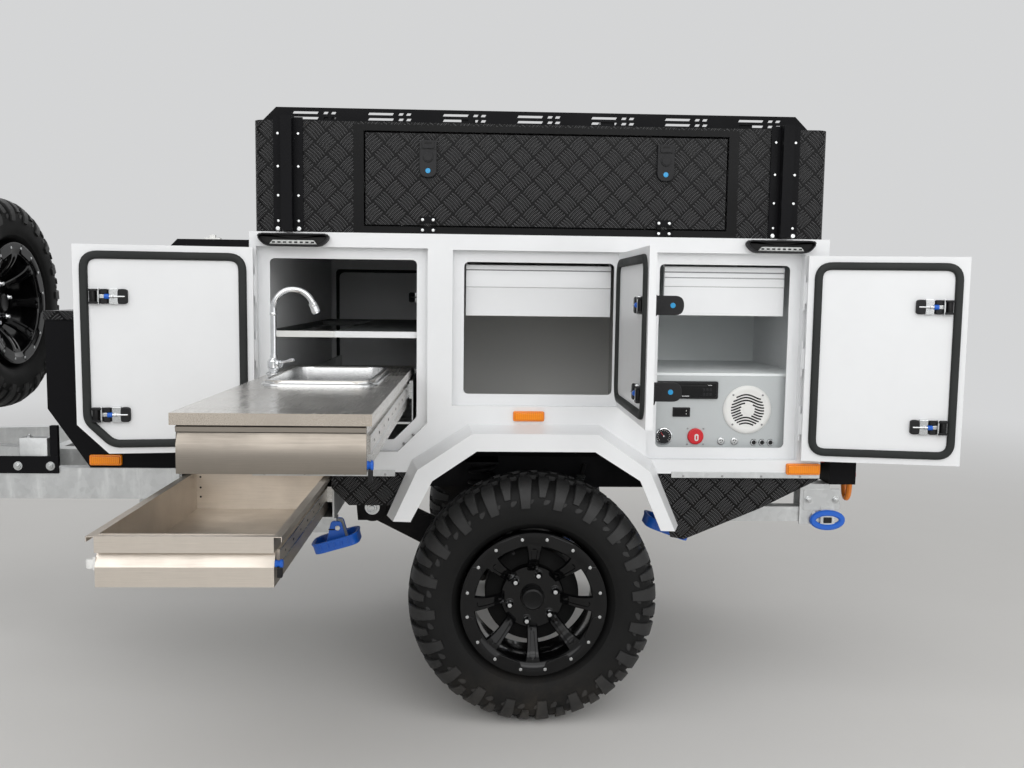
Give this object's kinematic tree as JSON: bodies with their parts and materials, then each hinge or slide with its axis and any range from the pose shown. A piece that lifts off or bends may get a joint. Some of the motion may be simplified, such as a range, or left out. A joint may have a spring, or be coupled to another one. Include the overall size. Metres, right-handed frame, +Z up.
{
  "type": "off-road camper trailer",
  "caption": "Compact off-road camper trailer with side doors, a pull-out kitchen bench and drawer, a roof box with fold-down hatches, a front locker and a spare wheel.",
  "frame": {"origin": "centre of the tow coupling's pin bore", "axes": "+X rearwards along the trailer, +Y towards its right-hand side, +Z up along the bore"},
  "size_m": [3.9909, 2.42, 1.7732],
  "materials": {
    "galvanised": "hot-dip galvanised, satin",
    "white": "white powder coat, semi-gloss",
    "grey": "light grey lining, satin",
    "black_sheet": "black powder coat, satin",
    "black_plastic": "moulded black",
    "stainless": "brushed stainless sheet",
    "zinc": "bright zinc plate",
    "chrome": "polished",
    "rim_black": "gloss black",
    "tyre": "matte",
    "lamp_amber": "ribbed amber lens",
    "lamp_red": "ribbed red lens",
    "lamp_case": "black die-cast",
    "speaker_white": "white moulding",
    "shackle": "orange paint",
    "leg_steel": "galvanised tube"
  },
  "bodies": {
    "trailer": {"chassis": "galvanised", "coupling": "galvanised", "leg_brackets": "galvanised", "body_shell": "white", "partitions": "grey", "control_panel": "white", "panel_devices": "black_plastic", "speaker": "speaker_white", "arch_liners": "black_sheet", "roof_box": "black_sheet", "rack_posts": "black_sheet", "rack_rails": "black_sheet", "rack_bars": "black_sheet", "work_lamps": "lamp_case", "marker_lamps": "lamp_amber", "tail_lamps": "lamp_red", "fender_flares": "white", "skirts": "black_sheet", "trailing_arms": "black_sheet", "springs": "black_sheet", "spare_carrier": "black_sheet", "spare_rim": "rim_black", "spare_tyre": "tyre", "front_locker": "black_sheet", "rear_bar": "black_sheet", "shackles": "shackle", "jockey_stem": "galvanised", "slide_rails": "zinc"},
    "locker_lid": {"locker_lid": "black_sheet"},
    "jockey_fork": {"jockey_fork": "galvanised"},
    "jockey_wheel": {"jockey_wheel": "tyre"},
    "wheel_left": {"rim_left": "rim_black", "tyre_left": "tyre"},
    "wheel_right": {"rim_right": "rim_black", "tyre_right": "tyre"},
    "bench": {"bench": "stainless", "tap": "chrome"},
    "floor_drawer": {"floor_drawer": "stainless"},
    "middle_drawer": {"middle_drawer": "white"},
    "rear_drawer": {"rear_drawer": "white"},
    "door_front_left": {"door_front_left": "white", "latches_front_left": "black_plastic"},
    "door_front_right": {"door_front_right": "white", "latches_front_right": "black_plastic"},
    "door_middle_left": {"door_middle_left": "white", "latches_middle_left": "black_plastic"},
    "door_middle_right": {"door_middle_right": "white", "latches_middle_right": "black_plastic"},
    "door_rear_left": {"door_rear_left": "white", "latches_rear_left": "black_plastic"},
    "door_rear_right": {"door_rear_right": "white", "latches_rear_right": "black_plastic"},
    "hatch_left": {"hatch_left": "black_sheet"},
    "leg_rear_left": {"leg_rear_left": "leg_steel"},
    "leg_front_left": {"leg_front_left": "leg_steel"},
    "hatch_right": {"hatch_right": "black_sheet"},
    "leg_rear_right": {"leg_rear_right": "leg_steel"},
    "leg_front_right": {"leg_front_right": "leg_steel"}
  },
  "joints": [
    {"name": "wheel_left_spin", "type": "hinge", "parent": "trailer", "child": "wheel_left", "pos_m": [2.75, -0.6275, -0.274], "axis": [0, 1, 0], "continuous": true},
    {"name": "wheel_right_spin", "type": "hinge", "parent": "trailer", "child": "wheel_right", "pos_m": [2.75, 0.6275, -0.274], "axis": [0, 1, 0], "continuous": true},
    {"name": "jockey_swivel", "type": "hinge", "parent": "trailer", "child": "jockey_fork", "pos_m": [0.5, -0.225, -0.4], "axis": [0, 0, 1], "continuous": true},
    {"name": "jockey_spin", "type": "hinge", "parent": "jockey_fork", "child": "jockey_wheel", "pos_m": [0.534, -0.225, -0.54], "axis": [0, 1, 0], "continuous": true},
    {"name": "door_front_left_hinge", "type": "hinge", "parent": "trailer", "child": "door_front_left", "pos_m": [1.958, -0.678, 0.445], "axis": [0, 0, -1], "range_deg": [-82, 0]},
    {"name": "door_front_right_hinge", "type": "hinge", "parent": "trailer", "child": "door_front_right", "pos_m": [1.958, 0.678, 0.445], "axis": [0, 0, 1], "range_deg": [0, 172]},
    {"name": "door_middle_left_hinge", "type": "hinge", "parent": "trailer", "child": "door_middle_left", "pos_m": [3.006, -0.678, 0.445], "axis": [0, 0, 1], "range_deg": [-90, 0]},
    {"name": "door_middle_right_hinge", "type": "hinge", "parent": "trailer", "child": "door_middle_right", "pos_m": [3.006, 0.678, 0.445], "axis": [0, 0, -1], "range_deg": [0, 90]},
    {"name": "door_rear_left_hinge", "type": "hinge", "parent": "trailer", "child": "door_rear_left", "pos_m": [3.519, -0.678, 0.445], "axis": [0, 0, 1], "range_deg": [-170, 0]},
    {"name": "door_rear_right_hinge", "type": "hinge", "parent": "trailer", "child": "door_rear_right", "pos_m": [3.519, 0.678, 0.445], "axis": [0, 0, -1], "range_deg": [0, 170]},
    {"name": "hatch_left_hinge", "type": "hinge", "parent": "trailer", "child": "hatch_left", "pos_m": [2.774, -0.671, 0.804], "axis": [1, 0, 0], "range_deg": [0, 90]},
    {"name": "leg_rear_left_swing", "type": "hinge", "parent": "trailer", "child": "leg_rear_left", "pos_m": [3.612, -0.545, -0.044], "axis": [0, -1, 0], "range_deg": [0, 90]},
    {"name": "leg_front_left_swing", "type": "hinge", "parent": "trailer", "child": "leg_front_left", "pos_m": [1.663, -0.545, -0.084], "axis": [0, 1, 0], "range_deg": [0, 60]},
    {"name": "hatch_right_hinge", "type": "hinge", "parent": "trailer", "child": "hatch_right", "pos_m": [2.774, 0.671, 0.804], "axis": [-1, 0, 0], "range_deg": [0, 90]},
    {"name": "leg_rear_right_swing", "type": "hinge", "parent": "trailer", "child": "leg_rear_right", "pos_m": [3.612, 0.545, -0.044], "axis": [0, -1, 0], "range_deg": [0, 90]},
    {"name": "leg_front_right_swing", "type": "hinge", "parent": "trailer", "child": "leg_front_right", "pos_m": [1.663, 0.545, -0.084], "axis": [0, 1, 0], "range_deg": [0, 60]},
    {"name": "locker_lid_hinge", "type": "hinge", "parent": "trailer", "child": "locker_lid", "pos_m": [1.917, 0, 0.541], "axis": [0, 1, 0], "range_deg": [0, 75]},
    {"name": "bench_slide", "type": "slide", "parent": "trailer", "child": "bench", "axis": [0, -1, 0], "range_m": [-1.04, 0]},
    {"name": "floor_drawer_slide", "type": "slide", "parent": "trailer", "child": "floor_drawer", "axis": [0, -1, 0], "range_m": [-0.68, 0]},
    {"name": "middle_drawer_slide", "type": "slide", "parent": "trailer", "child": "middle_drawer", "axis": [0, -1, 0], "range_m": [0, 0.4]},
    {"name": "rear_drawer_slide", "type": "slide", "parent": "trailer", "child": "rear_drawer", "axis": [0, -1, 0], "range_m": [0, 0.4]}
  ]
}
